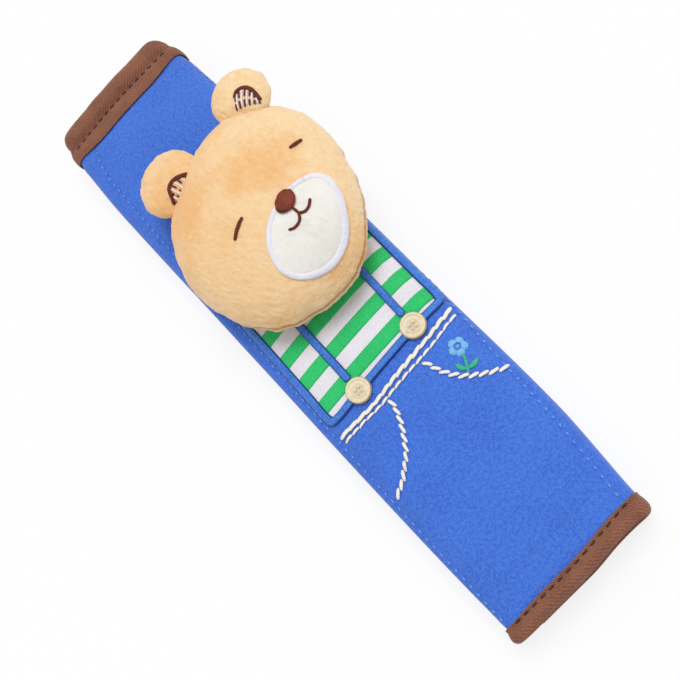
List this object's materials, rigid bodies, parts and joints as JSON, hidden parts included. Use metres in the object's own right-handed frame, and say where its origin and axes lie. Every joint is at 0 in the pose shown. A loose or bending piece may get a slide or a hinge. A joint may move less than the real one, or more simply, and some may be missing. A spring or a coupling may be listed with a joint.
{
  "type": "seat belt shoulder pad",
  "caption": "Padded fabric sleeve that wraps round a car seat belt, with a hook-and-loop back, bound ends and a plush bear head sewn on its front.",
  "frame": {"origin": "middle of the sleeve's length and width on the outer face of the back panel, on which the pad lies", "axes": "+Y along the sleeve towards the end nearer the plush head's ears, +Z out of the decorated front, +X to the right as the front is looked at with +Y up"},
  "size_m": [0.0848, 0.285, 0.0502],
  "materials": {
    "blue_cloth": "brushed cotton knit, matte",
    "blue_lining": "plain woven, matte",
    "foam": "open-cell polyurethane foam, matte",
    "navy_closure": "hook-and-loop tape, matte",
    "brown_tape": "cotton twill tape, matte",
    "brown_thread": "polyester thread",
    "blue_thread": "polyester thread",
    "cream_thread": "embroidery thread, satin",
    "white_cloth": "cotton, matte",
    "green_cloth": "cotton, matte",
    "blue_satin": "satin stitch, silky",
    "sky_thread": "embroidery thread, satin",
    "leaf_thread": "embroidery thread, satin",
    "peach_plush": "short pile plush",
    "stuffing": "polyester fibre",
    "muzzle_cloth": "brushed fleece, matte",
    "white_satin": "satin stitch, silky",
    "nose_satin": "satin stitch, silky",
    "face_thread": "embroidery thread, satin"
  },
  "bodies": {
    "root": {"outer_cover": "blue_cloth", "lining": "blue_lining", "foam_pad": "foam", "hook_strip": "navy_closure", "loop_strip": "navy_closure", "head_end_binding": "brown_tape", "tail_end_binding": "brown_tape", "head_end_stitch": "brown_thread", "tail_end_stitch": "brown_thread", "left_side_stitch": "blue_thread", "right_side_stitch": "blue_thread", "shirt_panel": "white_cloth", "shirt_stripe_1": "green_cloth", "shirt_stripe_2": "green_cloth", "shirt_stripe_3": "green_cloth", "shirt_stripe_4": "green_cloth", "shirt_border": "blue_satin", "left_suspender": "blue_satin", "right_suspender": "blue_satin", "left_button": "cream_thread", "right_button": "cream_thread", "waistband_stitch_upper": "cream_thread", "waistband_stitch_lower": "cream_thread", "left_pocket_stitch": "cream_thread", "right_pocket_stitch": "cream_thread", "flower_petals": "sky_thread", "flower_centre": "blue_satin", "flower_stem": "leaf_thread", "head_front": "peach_plush", "head_back": "peach_plush", "head_stuffing": "stuffing", "left_ear": "peach_plush", "left_ear_embroidery": "face_thread", "right_ear": "peach_plush", "right_ear_embroidery": "face_thread", "muzzle_patch": "muzzle_cloth", "muzzle_border": "white_satin", "nose": "nose_satin", "mouth": "face_thread", "left_eye": "face_thread", "right_eye": "face_thread"}
  },
  "joints": []
}
